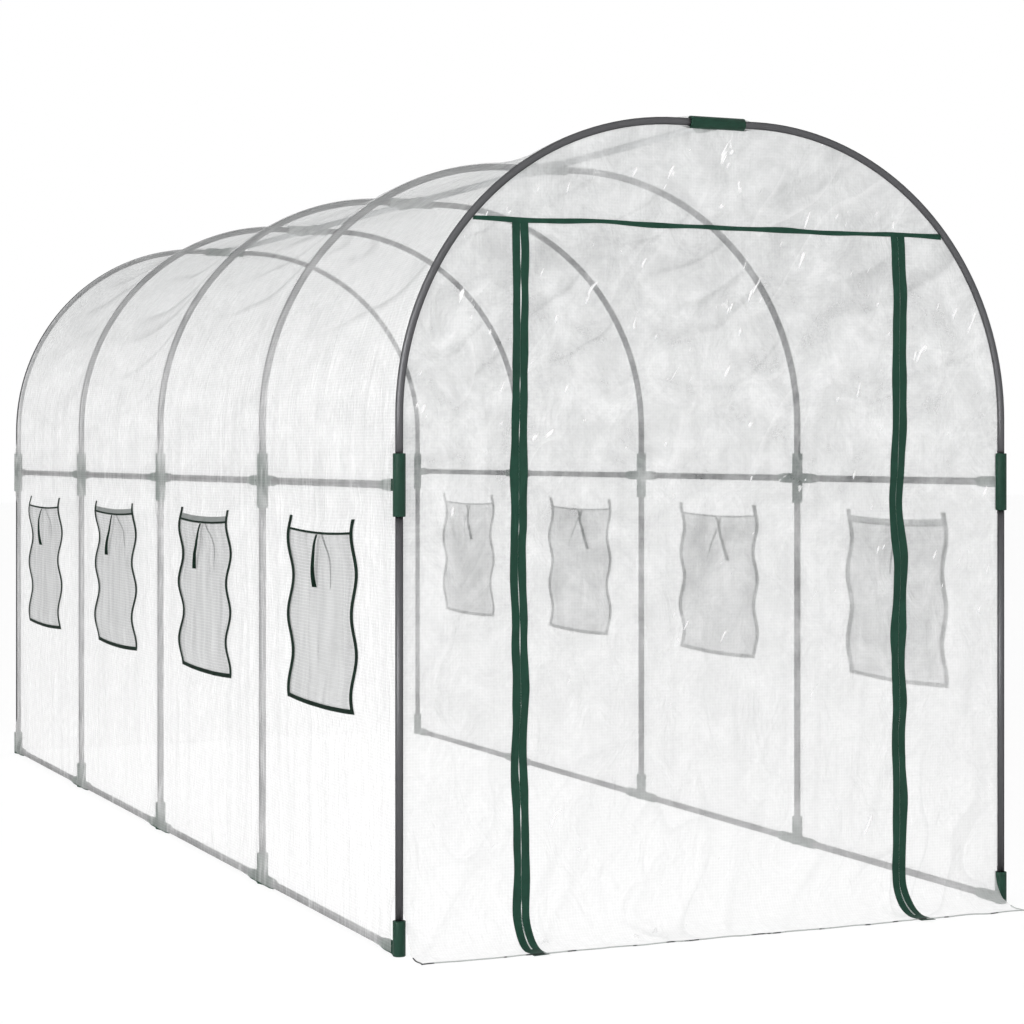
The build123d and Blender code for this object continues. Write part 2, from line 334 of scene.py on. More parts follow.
def draw_ring(bm, ring, move):
    """Extrude an open ring of edges by a move and return the new ring."""
    grown = bmesh.ops.extrude_edge_only(bm, edges=ring)["geom"]
    verts = [item for item in grown if isinstance(item, bmesh.types.BMVert)]
    bmesh.ops.translate(bm, verts=verts, vec=move)
    return [item for item in grown if isinstance(item, bmesh.types.BMEdge)
            and all(vert in verts for vert in item.verts)]


def arch_mesh(place):
    """The two bent tubes of one hoop, from the side fittings to the crown."""
    bm = bmesh.new()
    foot = arch_low.z
    start = Matrix.Translation((half_width, place, foot))
    bmesh.ops.create_circle(bm, cap_ends=True, segments=round_segments, radius=tube_radius, matrix=start)
    ring = [edge for edge in bm.edges]
    ring = draw_ring(bm, ring, (0, 0, spring_height - foot))
    verts = list({vert for edge in ring for vert in edge.verts})
    spun = bmesh.ops.spin(bm, geom=verts + ring, cent=(crown_straight, place, spring_height), axis=(0, -1, 0),
                          angle=math.pi / 2, steps=bend_steps)
    ring = [item for item in spun["geom_last"] if isinstance(item, bmesh.types.BMEdge)]
    ring_place = sum(vert.co.x for edge in ring for vert in edge.verts) / (2 * len(ring))
    ring = draw_ring(bm, ring, (tube_stop - ring_place, 0, 0))
    bmesh.ops.edgeloop_fill(bm, edges=ring)
    bmesh.ops.remove_doubles(bm, verts=bm.verts, dist=1e-6)
    bmesh.ops.recalc_face_normals(bm, faces=bm.faces)
    half = bm.verts[:] + bm.edges[:] + bm.faces[:]
    copy = bmesh.ops.duplicate(bm, geom=half)["geom"]
    verts = [item for item in copy if isinstance(item, bmesh.types.BMVert)]
    faces = [item for item in copy if isinstance(item, bmesh.types.BMFace)]
    bmesh.ops.scale(bm, vec=(-1, 1, 1), verts=verts)
    bmesh.ops.reverse_faces(bm, faces=faces)
    return bm


for number, place in enumerate(hoop_places, start=1):
    finish_piece(arch_mesh(place), f"arch_tubes_{number}", steel, [f"hoop_{number}_arch"])


# %% Legs and rails
def add_rod(bm, start, end, radius):
    """A closed straight tube between two points."""
    start, end = Vector(start), Vector(end)
    turn = (end - start).to_track_quat("Z", "Y").to_matrix().to_4x4()
    bmesh.ops.create_cone(bm, cap_ends=True, segments=round_segments, radius1=radius, radius2=radius,
                          depth=(end - start).length,
                          matrix=Matrix.Translation((start + end) / 2) @ turn)


def rail_piece(name, across, height, finish):
    """A line of rails, one in each bay, that stop short inside the fittings."""
    bm = bmesh.new()
    for start, end in zip(hoop_places, hoop_places[1:]):
        add_rod(bm, (across, start + tube_stop, height), (across, end - tube_stop, height), tube_radius)
    finish_piece(bm, name + "_tubes", finish, [name])


def leg_piece(side_name, across):
    """The five legs of one side."""
    low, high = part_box(f"{side_name}_legs")
    bm = bmesh.new()
    for place in hoop_places:
        add_rod(bm, (across, place, low.z), (across, place, high.z), tube_radius)
    finish_piece(bm, f"{side_name}_leg_tubes", steel, [f"{side_name}_legs"])


rail_piece("ridge_rails", 0, crown_height, bare_steel)
for side_name, side in (("left", -1), ("right", 1)):
    leg_piece(side_name, side * half_width)
    rail_piece(f"{side_name}_side_rails", side * half_width, side_rail_height, steel)
    rail_piece(f"{side_name}_base_rails", side * half_width, base_rail_height, steel)

# %% [markdown]
# ## Connectors
# The real fittings are moulded in one piece. They could be cut from blocks with booleans, but sleeves
# and arms are round, so a profile with rounded lips is spun round the axis of each. Arms end in a
# taper, and a small flare fills the corner where they meet.

# %% Sleeves and arms
lip = 0.0018
arm_radius = 0.017
arm_mouth_radius = 0.014
arm_taper = 0.024
arm_reach = 0.120
arm_root = 0.002
flare_length = 0.010
flare_rise = 0.0025
flare_sink = 0.001
bore_radius = tube_radius + 0.0003


def add_turned(bm, origin, direction, profile):
    """Spin a profile of (radius, distance) points round an axis into a closed ring."""
    turn = Vector(direction).to_track_quat("Z", "Y").to_matrix().to_4x4()
    place = Matrix.Translation(origin) @ turn
    verts = [bm.verts.new(place @ Vector((radius, 0, distance))) for radius, distance in profile]
    edges = [bm.edges.new((verts[i], verts[(i + 1) % len(verts)])) for i in range(len(verts))]
    bmesh.ops.spin(bm, geom=verts + edges, cent=origin, axis=Vector(direction),
                   angle=2 * math.pi, steps=round_segments, use_merge=True)


def add_sleeve(bm, centre, direction, low, high):
    """A sleeve with rounded lips, open at both ends for the hoop tube."""
    add_turned(bm, centre, direction, [
        (bore_radius, low), (sleeve_radius - lip, low), (sleeve_radius - lip * 0.3, low + lip * 0.3),
        (sleeve_radius, low + lip), (sleeve_radius, high - lip),
        (sleeve_radius - lip * 0.3, high - lip * 0.3), (sleeve_radius - lip, high), (bore_radius, high)])


def add_arm(bm, centre, direction):
    """A tapered arm that takes a rail, and the flare at its root."""
    shoulder = arm_reach - arm_taper
    add_turned(bm, centre, direction, [
        (bore_radius, arm_root), (arm_radius, arm_root), (arm_radius, shoulder - lip),
        (arm_radius - lip * 0.2, shoulder), (arm_mouth_radius + lip * 0.4, arm_reach - lip),
        (arm_mouth_radius - lip * 0.3, arm_reach), (bore_radius, arm_reach)])
    add_turned(bm, centre, direction, [
        (arm_radius - flare_sink, sleeve_radius * 0.6), (arm_radius + flare_rise * 0.2, sleeve_radius * 0.6),
        (arm_radius + flare_rise, sleeve_radius),
        (arm_radius + flare_rise * 0.32, sleeve_radius + flare_length * 0.6),
        (arm_radius - flare_sink, sleeve_radius + flare_length)])


print("sleeves", round(2000 * sleeve_radius), "mm across, arms", round(1000 * arm_reach), "mm long")


# %% Placing the connectors
def rail_directions(place):
    """Ways in which rails leave a hoop: the end hoops have one, the others two."""
    towards_back = [(0, 1, 0)] if place < back_place else []
    towards_front = [(0, -1, 0)] if place > front_place else []
    return towards_back + towards_front


def connector_piece(nodes, name, centres, direction, low, high, finish=green_plastic, ground=False):
    """Fittings of one kind: a sleeve and its arms at each centre, cut level at the ground."""
    bm = bmesh.new()
    for centre in centres:
        add_sleeve(bm, centre, direction, low, high)
        for arm in rail_directions(centre[1]):
            add_arm(bm, centre, arm)
    if ground:
        geom = bm.verts[:] + bm.edges[:] + bm.faces[:]
        bmesh.ops.bisect_plane(bm, geom=geom, dist=1e-6, plane_co=(0, 0, 0), plane_no=(0, 0, -1),
                               clear_outer=True)
        bmesh.ops.holes_fill(bm, edges=[edge for edge in bm.edges if edge.is_boundary], sides=0)
    bmesh.ops.recalc_face_normals(bm, faces=bm.faces)
    finish_piece(bm, name, finish, nodes)


crowns = [(0, place, crown_height) for place in hoop_places]
connector_piece(["crown_connectors"], "end_crown_fittings", [crowns[0], crowns[-1]], (1, 0, 0),
                -crown_sleeve_half, crown_sleeve_half)
connector_piece([], "inner_crown_fittings", crowns[1:-1], (1, 0, 0), -crown_sleeve_half, crown_sleeve_half,
                grey_plastic)
side_half = (side_high.z - side_low.z) / 2
for side_name, side in (("left", -1), ("right", 1)):
    centres = [(side * half_width, place, side_rail_height) for place in hoop_places]
    connector_piece([f"{side_name}_side_connectors"], f"{side_name}_side_fittings", centres, (0, 0, 1),
                    -side_half, side_half)
    centres = [(side * half_width, place, base_rail_height) for place in hoop_places]
    connector_piece([f"{side_name}_base_connectors"], f"{side_name}_base_fittings", centres, (0, 0, 1),
                    -base_rail_height, base_sleeve_top - base_rail_height, ground=True)

# %% [markdown]
# ## Film finishes
# The cover is woven polyethylene: a milky film with a fine white scrim pressed into it. A glass shader
# would bend the view and lose the milk. So part of the light goes straight through, which shows the
# tubes as grey lines, and the rest scatters to both sides. The milkiness drifts in clouds. Light and
# shade are painted into it: lines along the creases, highlights down the wall folds, a greyer roof top
# and a whiter film near the ground, and the creases of the end film get painted glints of white gloss.

# %% Painted glints and crease shading
glint_width, glint_length = 0.026, 0.085
glint_clump_mm = 250.0


def glints(tree, cut, height):
    """Painted glints: long narrow marks of white gloss that lean across the film, thick in its upper half."""
    lean = add_node(tree, "ShaderNodeMapping", {"Vector": cut, "Rotation": (0, 0, math.radians(-25)),
                                                "Scale": (glint_width, glint_length, 1.0)},
                    vector_type="TEXTURE")
    streaks = add_node(tree, "ShaderNodeTexNoise", {"Vector": lean.outputs["Vector"], "Scale": 1.0,
                                                    "Detail": 1.5, "Roughness": 0.6, "Distortion": 0.5})
    clumps = add_node(tree, "ShaderNodeTexNoise", {"Vector": cut, "Scale": 1000 / glint_clump_mm,
                                                   "Detail": 1.0})
    upper = add_node(tree, "ShaderNodeMapRange", {"Value": height, "From Min": 0.6, "From Max": 1.6,
                                                  "To Min": -0.05, "To Max": 0.0})
    raised = add_node(tree, "ShaderNodeMath", {0: clumps.outputs["Fac"], 1: 0.35,
                                               2: streaks.outputs["Fac"]}, operation="MULTIPLY_ADD")
    total = add_node(tree, "ShaderNodeMath", {0: raised.outputs[0], 1: upper.outputs["Result"]},
                     operation="ADD")
    return add_node(tree, "ShaderNodeMapRange", {"Value": total.outputs[0], "From Min": 0.875,
                                                 "From Max": 0.92}).outputs["Result"]


def painted_crease_shading(tree):
    """Painted crease shading that a sheet carries as an attribute: a sharp edge and a soft side."""
    marks = add_node(tree, "ShaderNodeAttribute", attribute_name="crease_shading").outputs["Vector"]
    marks = add_node(tree, "ShaderNodeSeparateXYZ", {"Vector": marks}).outputs
    soft = add_node(tree, "ShaderNodeMapRange", {"Value": marks["X"], "From Min": 0.16, "From Max": 0.0,
                                                 "To Max": marks["Y"]}, interpolation_type="SMOOTHSTEP")
    sharp = add_node(tree, "ShaderNodeMapRange", {"Value": marks["X"], "From Min": -0.03, "From Max": 0.0,
                                                  "To Max": soft.outputs["Result"]})
    return add_node(tree, "ShaderNodeMath", {0: sharp.outputs["Result"], 1: marks["Z"]}, operation="ADD",
                    use_clamp=True).outputs[0]


print("glints up to", round(1000 * glint_length), "mm long")

# %% Woven polyethylene film
scrim_mm = 9.0  # a real scrim is about 3 mm, too fine to show
cloud_mm = 142.9


def woven_film(name, clear_share, patch_share, scrim_share, tints, crease_size, crease_shading_tint, crease_shading_share,
               fold_veil, fold_highlight_share, roof_shade_and_ridge_milk, crown_veil, has_glints):
    """Milky film: tubes show through as grey lines, and painted light and shade change its milk."""
    material, tree, output = new_material(name)
    cut = add_node(tree, "ShaderNodeUVMap", uv_map="cut").outputs["UV"]
    place = add_node(tree, "ShaderNodeTexCoord").outputs["Object"]
    height = add_node(tree, "ShaderNodeSeparateXYZ", {"Vector": place}).outputs["Z"]
    run = add_node(tree, "ShaderNodeSeparateXYZ", {"Vector": cut}).outputs["X"]
    from_ridge = add_node(tree, "ShaderNodeMath", {0: run}, operation="ABSOLUTE").outputs[0]
    scrim = add_node(tree, "ShaderNodeTexBrick", {"Vector": cut, "Scale": 1000 / scrim_mm,
                                                  "Mortar Size": 0.14, "Mortar Smooth": 0.6,
                                                  "Brick Width": 1.0, "Row Height": 1.0}, offset=0.0)
    patches = add_node(tree, "ShaderNodeTexNoise", {"Vector": cut, "Scale": 1000 / cloud_mm, "Detail": 5.0,
                                                    "Roughness": 0.68, "Distortion": 0.35})
    folds = add_node(tree, "ShaderNodeMapping", {"Vector": cut, "Scale": crease_size}, vector_type="TEXTURE")
    crease = add_node(tree, "ShaderNodeTexNoise", {"Vector": folds.outputs["Vector"], "Scale": 1.0,
                                                   "Detail": 3.0, "Roughness": 0.5, "Distortion": 1.4})
    crease = crease.outputs["Fac"]
    contact = add_node(tree, "ShaderNodeAttribute", attribute_name="contact").outputs["Fac"]
    crease_shading = painted_crease_shading(tree)

    # where the film changes: the value read, where the change starts and ends, and its two levels
    zones = {}
    for zone, value, start, end, first, last in (
            # the zone near the ground whitens the film as painted light from the floor
            ("cloud", patches.outputs["Fac"], 0.34, 0.66, 0.0, 1.0), ("ground", height, 1.5, 0.15, 0.0, 1.0),
            # the zone high on the roof greys the film as painted shade, where less light falls from above
            ("painted_roof_shade", height, 1.65, 2.15, 0.0, roof_shade_and_ridge_milk), ("veil", height, 1.85, 2.25, 0.0, crown_veil),
            ("ridge", from_ridge, 0.17, 0.13, 0.0, roof_shade_and_ridge_milk), ("upright", height, 1.55, 1.95, 1.0, 0.25)):
        zones[zone] = add_node(tree, "ShaderNodeMapRange", {
            "Value": value, "From Min": start, "From Max": end, "To Min": first, "To Max": last}
        ).outputs["Result"]
    # painted highlight: white streaks down the crests of the folds, fainter up the roof
    painted_fold_highlight = add_node(tree, "ShaderNodeMapRange", {"Value": crease, "From Min": 0.50, "From Max": 0.70,
                                                   "To Max": zones["upright"]}).outputs["Result"]

    # how much goes straight through
    clear = add_node(tree, "ShaderNodeMapRange", {"Value": zones["cloud"],
                                                  "To Min": clear_share + patch_share,
                                                  "To Max": clear_share - patch_share}).outputs["Result"]
    for amount, share in ((scrim.outputs["Fac"], -scrim_share), (zones["painted_roof_shade"], 0.06), (contact, 0.10),
                          (zones["ridge"], -0.30), (crease_shading, -fold_veil), (painted_fold_highlight, -fold_veil),
                          (zones["veil"], -1.0)):
        clear = add_node(tree, "ShaderNodeMath", {0: amount, 1: share, 2: clear}, operation="MULTIPLY_ADD",
                         use_clamp=True).outputs[0]

    # the tint of the milk that scatters the rest: painted light near the ground, painted highlights down
    # the folds, painted shade on the roof top, a paler veil at the crown and painted crease shading
    milk = add_node(tree, "ShaderNodeMix", {"Factor": zones["cloud"], "A": linear(tints[0]),
                                            "B": linear(tints[1])}, data_type="RGBA").outputs["Result"]
    # painted crease shading: the tint of the crease lines turns grey near the ground as painted shade
    crease_shading_colour = add_node(tree, "ShaderNodeMix", {"Factor": zones["ground"], "A": linear(crease_shading_tint),
                                                 "B": linear("#a9abab")}, data_type="RGBA").outputs["Result"]
    for amount, share, tint in ((zones["ground"], 1.0, linear("#f8f8f8")),
                                (painted_fold_highlight, fold_highlight_share, linear("#ffffff")),
                                (zones["painted_roof_shade"], 1.0, linear("#b4b6b6")),
                                (zones["veil"], 3.0, linear("#f2f3f3")), (crease_shading, crease_shading_share, crease_shading_colour)):
        part = add_node(tree, "ShaderNodeMath", {0: amount, 1: share}, operation="MULTIPLY").outputs[0]
        milk = add_node(tree, "ShaderNodeMix", {"Factor": part, "A": milk, "B": tint},
                        data_type="RGBA").outputs["Result"]

    normal = add_node(tree, "ShaderNodeBump", {"Height": crease, "Strength": 0.7, "Distance": 0.020}
                      ).outputs["Normal"]
    skin = add_node(tree, "ShaderNodeBsdfPrincipled", {"Base Color": milk, "Roughness": 0.38,
                                                       "Specular IOR Level": 0.4, "Normal": normal})
    through = add_node(tree, "ShaderNodeBsdfTranslucent", {"Color": milk, "Normal": normal})
    haze = add_node(tree, "ShaderNodeMixShader", {0: 0.5, 1: skin.outputs[0], 2: through.outputs[0]})
    straight = add_node(tree, "ShaderNodeBsdfTransparent", {"Color": linear("#ffffff")})
    film = add_node(tree, "ShaderNodeMixShader", {0: clear, 1: haze.outputs[0], 2: straight.outputs[0]})
    if has_glints:
        # painted glints: marks of pure white gloss stand in for creases that catch the light
        shine = add_node(tree, "ShaderNodeBsdfGlossy", {"Color": linear("#ffffff"), "Roughness": 0.25})
        film = add_node(tree, "ShaderNodeMixShader", {0: glints(tree, cut, height), 1: film.outputs[0],
                                                      2: shine.outputs[0]})
    tree.links.new(film.outputs[0], output.inputs["Surface"])
    return material


# the cover's crease lines are dark painted shade, the end film's are white painted highlights, and both turn
# grey near the ground
cover_film = woven_film("woven_polyethylene_cover", clear_share=0.55, patch_share=0.08, scrim_share=0.10,
                        tints=("#f3f4f4", "#fefefe"), crease_size=(0.20, 0.034, 1.0), crease_shading_tint="#6c6e6e",
                        crease_shading_share=0.45, fold_veil=0.20, fold_highlight_share=0.8, roof_shade_and_ridge_milk=0.6, crown_veil=0.0,
                        has_glints=False)
end_film = woven_film("woven_polyethylene_end", clear_share=0.55, patch_share=0.05, scrim_share=0.04,
                      tints=("#9c9e9e", "#ebecec"), crease_size=(0.10, 0.16, 1.0), crease_shading_tint="#ffffff",
                      crease_shading_share=0.65, fold_veil=0.08, fold_highlight_share=0.4, roof_shade_and_ridge_milk=0.0, crown_veil=0.18,
                      has_glints=True)
print("films:", cover_film.name, "and", end_film.name)

# %% [markdown]
# ## Cover shape
# One sheet goes from hem to hem over all five hoops. The film is slack: it rests on the tubes, is
# lifted by each connector, sags between hoops on the roof and hangs in upright folds on the walls. A
# cloth simulation could drape it, but so large a sheet takes long to settle, and its windows would
# drift. So it is cut flat as a grid, its windows are cut out, and every point is wrapped over the hoop
# line by functions that place the sag and the folds.

# %% Wrapping the flat cut over the hoops
film_gap = 0.0008
film_rest = tube_radius + film_gap
bend_run = (bend_radius + film_rest) * math.pi / 2
half_run = crown_straight + bend_run + spring_height - film_hem_height
side_rail_run = half_run - (side_rail_height - film_hem_height)
base_rail_run = half_run - (base_rail_height - film_hem_height)
cover_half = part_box("roof_sheet_4")[1].y
bay_length = hoop_places[1] - hoop_places[0]
window_half = 0.2875
window_low, window_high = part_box("right_window_meshes")
window_sill, window_head = window_low.z, window_high.z
sill_run = half_run - (window_sill - film_hem_height)
head_run = half_run - (window_head - film_hem_height)
window_places = [(start + end) / 2 for start, end in zip(hoop_places, hoop_places[1:])]


def over_hoop(run, place, stand_off):
    """The point at a run from the ridge, measured round the film, and a stand-off from the tubes."""
    side = math.copysign(1.0, run)
    run = abs(run)
    if run <= crown_straight:
        return Vector((side * run, place, crown_height + stand_off))
    angle = (run - crown_straight) / (bend_radius + film_rest)
    if angle <= math.pi / 2:
        reach = bend_radius + stand_off
        return Vector((side * (crown_straight + reach * math.sin(angle)), place,
                       spring_height + reach * math.cos(angle)))
    return Vector((side * (half_width + stand_off), place, spring_height - (run - crown_straight - bend_run)))


def run_height(run):
    """Height of the film at a run, where the walls are upright."""
    return film_hem_height + half_run - abs(run)


print("the film runs", round(half_run, 3), "m from ridge to hem")

# %% Where fittings lift the film and windows wave it
lift_fade = 0.07
window_wave_height = 0.0088
window_sag = 0.008
window_waves = ((27.0, 2.27), (31.4, -2.81), (29.9, -1.91), (28.0, 1.06))  # radians to a metre, and phase


def fitting_lift(run, from_hoop):
    """How far a connector under the film lifts it."""
    lift = 0.0
    for centre, half in ((0.0, crown_sleeve_half), (side_rail_run, side_half),
                         (base_rail_run, base_sleeve_top)):
        away = abs(abs(run) - centre)
        sleeve = 1 - smooth_step(half, half + lift_fade, away)
        sleeve *= 1 - smooth_step(0.020, 0.08, from_hoop)
        arm = 1 - smooth_step(0.018, 0.07, away)
        arm *= 1 - smooth_step(arm_reach, arm_reach + lift_fade, from_hoop)
        lift = max(lift, sleeve, arm)
    return lift * (sleeve_radius - tube_radius)


def window_wave(run, place):
    """How near a window edge is, and how far the slack film there waves in and out with its tapes."""
    height = run_height(run)
    centre = min(window_places, key=lambda window: abs(place - window))
    out = max(abs(place - centre) - window_half, height - window_head, window_sill - height)
    number = window_places.index(centre)
    pace, phase = window_waves[number]
    wave = math.sin(height * pace + (place - centre) * 1.2 + phase + (0.8 if run > 0 else 0))
    wave += 0.3 * ripple(place * 5, height * 7, number + 3)
    return bell(out, 0.05), window_wave_height * wave * bell(out, 0.07)


def sagged(run, place):
    """The head and the sill of a window hang a little low in the middle, and the film with them."""
    from_centre = min(abs(place - window) for window in window_places) / window_half
    from_edge = min(abs(abs(run) - head_run), abs(abs(run) - sill_run))
    return run + math.copysign(window_sag, run) * max(1 - from_centre ** 2, 0) * bell(from_edge, 0.12)


print("fittings lift the film by", round(1000 * (sleeve_radius - tube_radius), 1), "mm")

# %% Folds and sag of the film
roof_sag = 0.036
swag_height = 0.022
wall_fold, roof_fold = 0.012, 0.003
edge_curl = 0.008


def pleat(x, y, z):
    """Folded noise: a sharp crest along every line where smooth noise crosses zero."""
    return 0.25 - abs(ripple(x, y, z))


def swag_line(run, place):
    """Signed distance from the folds that leave each hoop and sweep down and back, and their strength."""
    behind = (place - front_place) % bay_length
    bay = math.floor((place - front_place) / bay_length)
    fall = abs(run) - 0.17 * (1 - math.exp(-behind / 0.30)) + 0.05 * ripple(place * 2.5, run * 2.5, 1.5)
    fade = smooth_step(0.0, 0.05, behind) * (1 - smooth_step(0.30, 1.05, behind))
    fade *= smooth_step(0.05, 0.35, abs(run)) * smooth_step(side_rail_run, side_rail_run - 0.7, abs(run))
    return ripple(fall * 4.4, bay * 2.7 + 0.3, math.copysign(3.3, run)), fade


def hanging_folds(run, place):
    """Upright folds of the walls, wavering as they fall."""
    waver = place + 0.035 * ripple(run * 2.6, place * 1.5, 4.0)
    wide = pleat(waver * 8, run * 0.6, math.copysign(6.4, run))
    return wide + 0.45 * pleat(waver * 19, run * 1.1, math.copysign(9.2, run))


def film_stand_off(run, place):
    """Distance of the film from the tube line, folds, sag and creases included."""
    across = abs(run)
    from_hoop = min(abs(place - hoop) for hoop in hoop_places)
    from_rail = min(across, abs(across - side_rail_run), abs(across - base_rail_run))
    roof = 1 - smooth_step(side_rail_run - 0.30, side_rail_run, across)
    free = 1 - (1 - min(2 * from_hoop / bay_length, 1)) ** 2.4
    loose = smooth_step(0.0, 0.35, across) * (1 - smooth_step(0.9, 1.6, across))
    move = -roof_sag * free * loose
    line, strength = swag_line(run, place)
    move += swag_height * (0.25 - abs(line)) * strength
    sewn, wave = window_wave(run, place)
    fold_height = wall_fold + (roof_fold - wall_fold) * roof
    move += fold_height * (1 - 0.9 * sewn) * hanging_folds(run, place) + wave
    held = max(1 - smooth_step(0.012, 0.06, from_hoop), 1 - smooth_step(0.012, 0.05, from_rail))
    lift = fitting_lift(run, from_hoop)
    curl = edge_curl * bell(cover_half - abs(place), 0.012) * (1 - lift / (sleeve_radius - tube_radius))
    return film_rest + lift + move * (1 - held) + abs(move) * 0.35 * held - curl


print("the roof sags up to", round(1000 * roof_sag), "mm between hoops")


# %% Painted crease shading and contact, which the finish reads
def cover_crease_shading(run, place):
    """Painted crease shade of the cover: the line and strength of a swag, and how sharp each upright crest
    is.
    """
    roof = smooth_step(side_rail_run, side_rail_run - 0.7, abs(run))
    upright = smooth_step(0.10, 0.36, hanging_folds(run, place))
    return *swag_line(run, place), 0.4 * upright * (1 - 0.75 * roof)


def cover_contact(run, place):
    """How firmly the cover lies on a hoop or a fitting, from 0 to 1."""
    from_hoop = min(abs(place - hoop) for hoop in hoop_places)
    on_fitting = fitting_lift(run, from_hoop) / (sleeve_radius - tube_radius)
    return max(on_fitting, 1 - smooth_step(tube_radius, 2 * tube_radius, from_hoop))


def keep_flat_cut(bm, crease_shading_of=None, touch=None):
    """Store the flat coordinates, in metres, and the painted crease shading and contact, which the finish
    reads.
    """
    layer = bm.loops.layers.uv.new("cut")
    for face in bm.faces:
        for loop in face.loops:
            loop[layer].uv = loop.vert.co.xy
    if crease_shading_of:
        mark = bm.verts.layers.float_vector.new("crease_shading")
        for vert in bm.verts:
            vert[mark] = crease_shading_of(vert.co.x, vert.co.y)
    if touch:
        mark = bm.verts.layers.float.new("contact")
        for vert in bm.verts:
            vert[mark] = touch(vert.co.x, vert.co.y)


print("contact on the front hoop is", cover_contact(crown_straight, front_place))

# %% Cutting the cover
cover_columns, cover_rows = 280, 330


def cut_line(bm, axis, place):
    """Cut the flat sheet along a line of one run or of one place."""
    normal = (1, 0, 0) if axis == "run" else (0, 1, 0)
    point = (place, 0, 0) if axis == "run" else (0, place, 0)
    bmesh.ops.bisect_plane(bm, geom=bm.verts[:] + bm.edges[:] + bm.faces[:], dist=0.0005, plane_co=point,
                           plane_no=normal)


bm = bmesh.new()
bmesh.ops.create_grid(bm, x_segments=cover_columns, y_segments=cover_rows, size=0.5)
bmesh.ops.scale(bm, vec=(half_run * 2, cover_half * 2, 1), verts=bm.verts)
for run in (-sill_run, -head_run, head_run, sill_run):
    cut_line(bm, "run", run)
for centre in window_places:
    cut_line(bm, "place", centre - window_half)
    cut_line(bm, "place", centre + window_half)
openings = [face for face in bm.faces
            if head_run < abs(face.calc_center_median().x) < sill_run
            and min(abs(face.calc_center_median().y - centre) for centre in window_places) < window_half]
bmesh.ops.delete(bm, geom=openings, context="FACES")
keep_flat_cut(bm, cover_crease_shading, cover_contact)
for vert in bm.verts:
    stand_off = film_stand_off(vert.co.x, vert.co.y)
    vert.co = over_hoop(sagged(vert.co.x, vert.co.y), vert.co.y, stand_off)
cover_nodes = [f"roof_sheet_{bay}" for bay in range(1, 5)]
cover_nodes += [f"{side_name}_wall_sheet_{bay}" for side_name in ("left", "right") for bay in range(1, 5)]
cover = finish_piece(bm, "tunnel_cover", cover_film, cover_nodes)

# %% [markdown]
# ## Window finishes
# The windows are knotless insect mesh, sewn in with a dark green woven tape. Real threads could be
# modelled, but eight windows hold millions of them. So the holes are a brick pattern that lets part of
# the light through, and the mesh looks grey against the white film.

# %% Insect mesh
thread_mm = 5.0  # real threads are about 1.5 mm apart, too fine to show


def insect_mesh():
    """Knitted polyethylene thread: a matt grey veil, half holes, with soft upright folds painted in as shade.
    """
    material, tree, output = new_material("knitted_insect_mesh")
    cut = add_node(tree, "ShaderNodeUVMap", uv_map="cut").outputs["UV"]
    threads = add_node(tree, "ShaderNodeTexBrick", {"Vector": cut, "Scale": 1000 / thread_mm,
                                                    "Mortar Size": 0.22, "Mortar Smooth": 0.5,
                                                    "Brick Width": 2.0, "Row Height": 1.0}, offset=0.0)
    folds = add_node(tree, "ShaderNodeMapping", {"Vector": cut, "Scale": (0.22, 0.045, 1.0)},
                     vector_type="TEXTURE")
    # painted shade of soft upright folds: the grey of the threads rises and falls in long upright bands
    shade = add_node(tree, "ShaderNodeTexNoise", {"Vector": folds.outputs["Vector"], "Scale": 1.0,
                                                  "Detail": 3.0, "Distortion": 0.6})
    clear = add_node(tree, "ShaderNodeMapRange", {"Value": threads.outputs["Fac"], "To Min": 0.50,
                                                  "To Max": 0.20})
    colour = add_node(tree, "ShaderNodeMix", {"Factor": shade.outputs["Fac"], "A": linear("#707171"),
                                              "B": linear("#cacbcb")}, data_type="RGBA")
    thread = add_node(tree, "ShaderNodeBsdfPrincipled", {"Base Color": colour.outputs["Result"],
                                                         "Roughness": 0.7})
    straight = add_node(tree, "ShaderNodeBsdfTransparent")
    mesh_skin = add_node(tree, "ShaderNodeMixShader", {0: clear.outputs["Result"], 1: thread.outputs[0],
                                                       2: straight.outputs[0]})
    tree.links.new(mesh_skin.outputs[0], output.inputs["Surface"])
    return material


mesh_cloth = insect_mesh()
print("window finish:", mesh_cloth.name)

# %% Woven tape
weave_mm = 2.381  # a real weave is about 0.8 mm, too fine to show
fade_mm = 45.45


def woven_tape(name, dark, light, gloss=0.2):
    """Woven polypropylene ribbon: a dull ribbed skin whose dye has faded unevenly."""
    material, tree, output = new_material(name)
    place = add_node(tree, "ShaderNodeTexCoord").outputs["Object"]
    weave = add_node(tree, "ShaderNodeTexNoise", {"Vector": place, "Scale": 1000 / weave_mm, "Detail": 2.0})
    fade = add_node(tree, "ShaderNodeTexNoise", {"Vector": place, "Scale": 1000 / fade_mm, "Detail": 4.0})
    colour = add_node(tree, "ShaderNodeMix", {"Factor": fade.outputs["Fac"], "A": linear(dark),
                                              "B": linear(light)}, data_type="RGBA")
    bump = add_node(tree, "ShaderNodeBump", {"Height": weave.outputs["Fac"], "Strength": 0.3,
                                             "Distance": 0.0006})
    skin = add_node(tree, "ShaderNodeBsdfPrincipled", {"Base Color": colour.outputs["Result"],
                                                       "Roughness": 0.62, "Specular IOR Level": gloss,
                                                       "Normal": bump.outputs["Normal"]})
    tree.links.new(skin.outputs[0], output.inputs["Surface"])
    return material


green_tape = woven_tape("woven_green_tape", "#0f3226", "#1b4133")
window_tape = woven_tape("woven_dark_green_tape", "#07170f", "#0d2219", 0.03)
pale_tape = woven_tape("woven_pale_tape", "#6f7372", "#858987")
print("tape finishes:", green_tape.name, window_tape.name, pale_tape.name)

